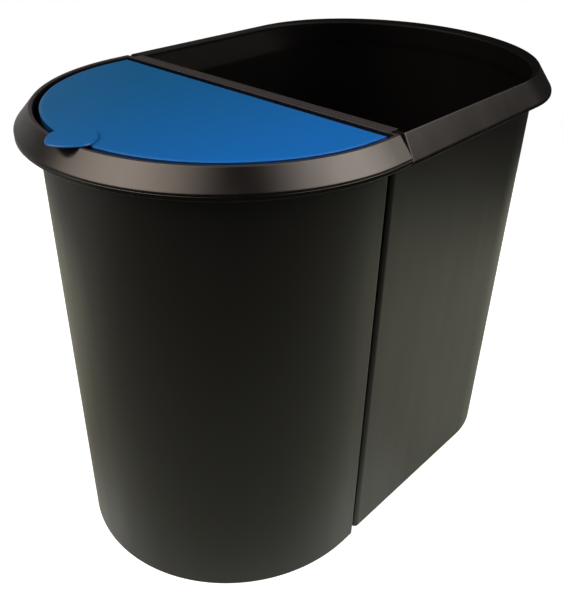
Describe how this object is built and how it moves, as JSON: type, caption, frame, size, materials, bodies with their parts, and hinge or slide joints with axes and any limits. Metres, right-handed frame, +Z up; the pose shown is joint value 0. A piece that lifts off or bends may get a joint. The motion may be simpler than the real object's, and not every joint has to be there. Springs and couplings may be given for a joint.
{
  "type": "double recycling bin",
  "caption": "Two black waste bins side by side on one oval plan: an open bin, and a D-shaped bin with a collar, a hinged blue lid and a thumb tab.",
  "frame": {"origin": "on the floor, in the middle of the outline of both bins together", "axes": "+Z up, +X along the oval from the small lidded bin towards the large open bin, +Y across the bins"},
  "size_m": [0.4456, 0.2818, 0.3517],
  "materials": {
    "black_plastic": "satin, fine moulded grain, black",
    "collar_plastic": "satin, smoother than the walls, black",
    "blue_plastic": "satin, smooth, blue"
  },
  "bodies": {
    "large": {"large_bin": "black_plastic"},
    "small": {"small_bin": "black_plastic"},
    "collar": {"lid_collar": "collar_plastic"},
    "flap": {"lid": "blue_plastic"}
  },
  "joints": [
    {"name": "small_bin_lift", "type": "slide", "parent": "large", "child": "small", "axis": [0, 0, 1], "range_m": [0, 0.12]},
    {"name": "collar_lift", "type": "slide", "parent": "small", "child": "collar", "axis": [0, 0, 1], "range_m": [0, 0.06]},
    {"name": "lid_hinge", "type": "hinge", "parent": "collar", "child": "flap", "pos_m": [-0.0718, 0, 0.3446], "axis": [0, 1, 0], "range_deg": [0, 98]}
  ]
}
